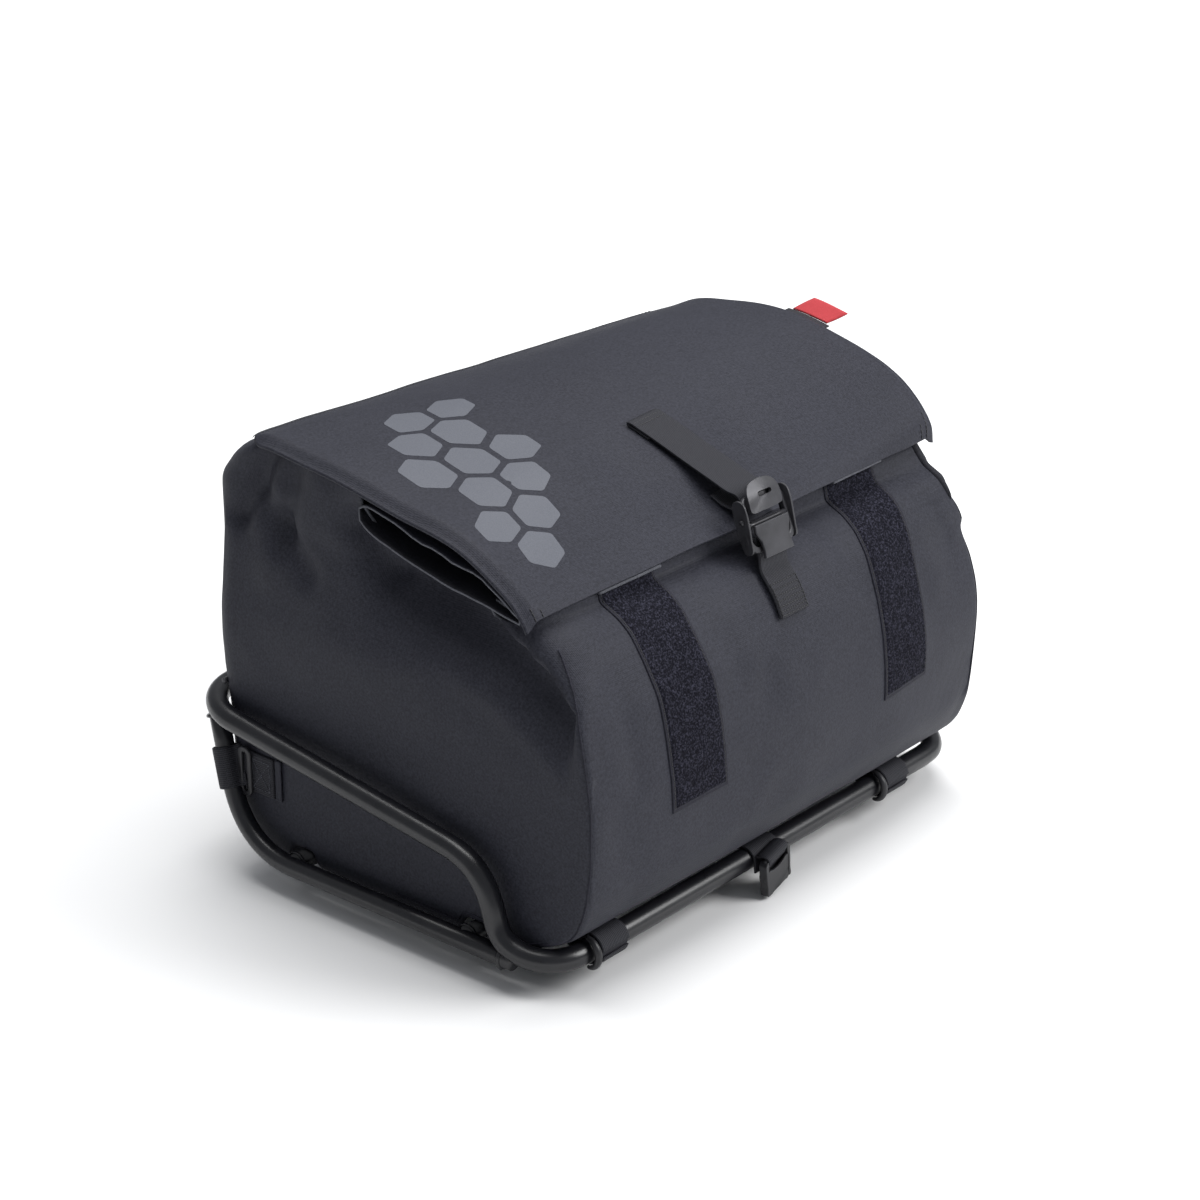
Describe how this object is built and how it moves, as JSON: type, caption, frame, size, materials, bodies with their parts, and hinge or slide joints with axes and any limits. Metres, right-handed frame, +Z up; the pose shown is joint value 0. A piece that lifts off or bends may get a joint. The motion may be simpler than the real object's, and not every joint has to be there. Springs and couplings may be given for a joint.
{
  "type": "front tray bag on a tubular tray frame",
  "caption": "Roll-top front tray bag in dark fabric with a buckled flap, strapped into a black tubular tray frame with raised side rails.",
  "frame": {"origin": "centre of the footprint of everything that is built, at the underside of the deck bars", "axes": "+X to the right of someone who faces the front panel, -Y out of the front panel, +Z up"},
  "size_m": [0.422, 0.3268, 0.302],
  "materials": {
    "fabric": "coated woven fabric, dark grey",
    "tape": "loop tape, near black, fuzzy",
    "webbing": "woven polyester webbing, charcoal",
    "plastic": "satin black acetal",
    "metal": "black coated steel, satin",
    "tube": "powder coated black, satin",
    "tab": "red woven tab, blank"
  },
  "bodies": {
    "root": {"tray_frame": "tube", "bag_body": "fabric", "flap": "fabric", "roll_closure": "fabric", "loop_strip_left": "tape", "loop_strip_right": "tape", "top_strap": "webbing", "strap_tail": "webbing", "lower_strap": "webbing", "buckle_frame": "metal", "buckle_cap": "plastic", "hook_plate": "metal", "buckle_pin": "metal", "side_tab": "tab", "base_strap_left": "webbing", "base_strap_right": "webbing", "base_slider_left": "plastic", "base_slider_right": "plastic", "center_webbing": "webbing", "release_buckle": "plastic", "side_strap_left": "webbing", "side_strap_right": "webbing", "side_slider_left": "plastic", "side_slider_right": "plastic", "side_patch_left": "webbing", "side_patch_right": "webbing"}
  },
  "joints": []
}
